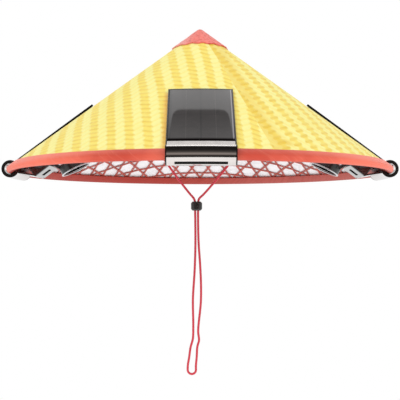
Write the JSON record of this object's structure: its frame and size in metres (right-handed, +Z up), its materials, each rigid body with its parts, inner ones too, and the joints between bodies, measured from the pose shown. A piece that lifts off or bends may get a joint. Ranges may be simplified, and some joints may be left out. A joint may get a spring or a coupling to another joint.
{
  "type": "solar fan hat",
  "caption": "Conical woven sun hat with an open lattice inside, a bound rim, clip-on solar fans over the brim and a hanging chin cord with a lock.",
  "frame": {"origin": "on the cone's axis at the height where its inside rests on a head, 100 mm above the rim's lowest edge", "axes": "+Z up along the cone's axis to its point, the front of the hat towards -Y, the wearer's left side towards +X"},
  "size_m": [0.4318, 0.4259, 0.3829],
  "materials": {
    "straw_weave": "satin woven straw in pale and golden yellow",
    "white_lining": "thin pale film, slightly rippled",
    "red_bamboo": "split bamboo strips with red stain and light varnish",
    "red_binding": "smooth wound strip, soft gloss",
    "red_cloth": "coarse plain cloth",
    "black_plastic": "high gloss moulded black",
    "solar_cell": "dark cells under clear glossy resin",
    "silver_trim": "bright trim",
    "motor_steel": "drawn steel can",
    "fan_plastic": "moulded black, soft gloss",
    "cord_red": "braided cord",
    "lock_plastic": "moulded black, fine texture"
  },
  "bodies": {
    "root": {"cover": "straw_weave", "lining": "white_lining", "lattice": "red_bamboo", "rim_binding": "red_binding", "apex_cap": "red_cloth", "front_clip_frame": "black_plastic", "front_solar_panel": "solar_cell", "front_fan_housing": "black_plastic", "front_fan_ring": "silver_trim", "front_motor": "motor_steel", "left_clip_frame": "black_plastic", "left_solar_panel": "solar_cell", "left_fan_housing": "black_plastic", "left_fan_ring": "silver_trim", "left_motor": "motor_steel", "right_clip_frame": "black_plastic", "right_solar_panel": "solar_cell", "right_fan_housing": "black_plastic", "right_fan_ring": "silver_trim", "right_motor": "motor_steel", "cord": "cord_red", "cord_lock": "lock_plastic", "lock_button": "lock_plastic", "cord_knot_left": "cord_red", "cord_knot_right": "cord_red"},
    "front_rotor": {"front_fan_rotor": "fan_plastic"},
    "left_rotor": {"left_fan_rotor": "fan_plastic"},
    "right_rotor": {"right_fan_rotor": "fan_plastic"}
  },
  "joints": [
    {"name": "front_fan_spin", "type": "hinge", "parent": "root", "child": "front_rotor", "pos_m": [0.00072, -0.1382, -0.0931], "axis": [0.0023, -0.4384, 0.8988], "continuous": true},
    {"name": "left_fan_spin", "type": "hinge", "parent": "root", "child": "left_rotor", "pos_m": [-0.13813, 0.00434, -0.0931], "axis": [-0.4382, 0.0138, 0.8988], "continuous": true},
    {"name": "right_fan_spin", "type": "hinge", "parent": "root", "child": "right_rotor", "pos_m": [0.13815, 0.00362, -0.0931], "axis": [0.4382, 0.0115, 0.8988], "continuous": true}
  ]
}
